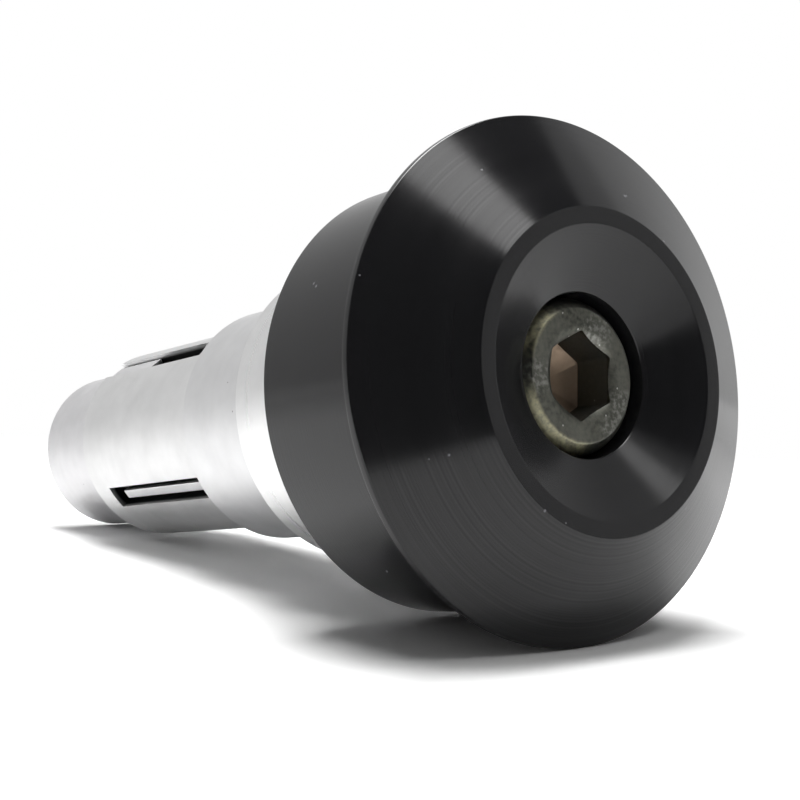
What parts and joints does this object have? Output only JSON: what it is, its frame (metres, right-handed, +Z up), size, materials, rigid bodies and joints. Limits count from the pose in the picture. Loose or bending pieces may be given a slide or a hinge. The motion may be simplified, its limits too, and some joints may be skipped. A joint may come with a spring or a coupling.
{
  "type": "bar end weight",
  "caption": "Turned handlebar end weight with a flared front disc, held in the bar by an expander sleeve, cone nut and socket screw.",
  "frame": {"origin": "centre of the weight's flat back face, the shoulder that butts against the end of the handlebar", "axes": "+Y along the bar's axis into the bar, from the nose to the cone nut; -Y out of the nose, towards the key; +Z up; +X to the right when seen from the nose's side looking along +Y"},
  "size_m": [0.0336, 0.0643, 0.0336],
  "materials": {
    "dark_anodised": "turned and anodised dark grey, with fine concentric lines",
    "screw_steel": "worn dark steel with a brassy tint on its edges",
    "ring_aluminium": "matt silver, fine turned",
    "collar_aluminium": "matt silver, fine turned",
    "sleeve_aluminium": "matt silver, fine turned",
    "nut_aluminium": "matt silver, fine turned"
  },
  "bodies": {
    "holder": {"weight": "dark_anodised", "large_ring": "ring_aluminium", "guide_collar": "collar_aluminium", "expander_sleeve": "sleeve_aluminium"},
    "screw": {"socket_screw": "screw_steel"},
    "nut": {"cone_nut": "nut_aluminium"}
  },
  "joints": [
    {"name": "nut_slide", "type": "slide", "parent": "holder", "child": "nut", "axis": [0, 1, 0], "range_m": [0, 0.004]},
    {"name": "screw_turn", "type": "hinge", "parent": "holder", "child": "screw", "pos_m": [0, 0, 0], "axis": [0, 1, 0], "range_deg": [-1440, 0]}
  ],
  "couplings": [
    {"joint": "screw_turn", "follows": "nut_slide", "rad_per_m": -6283.2}
  ]
}
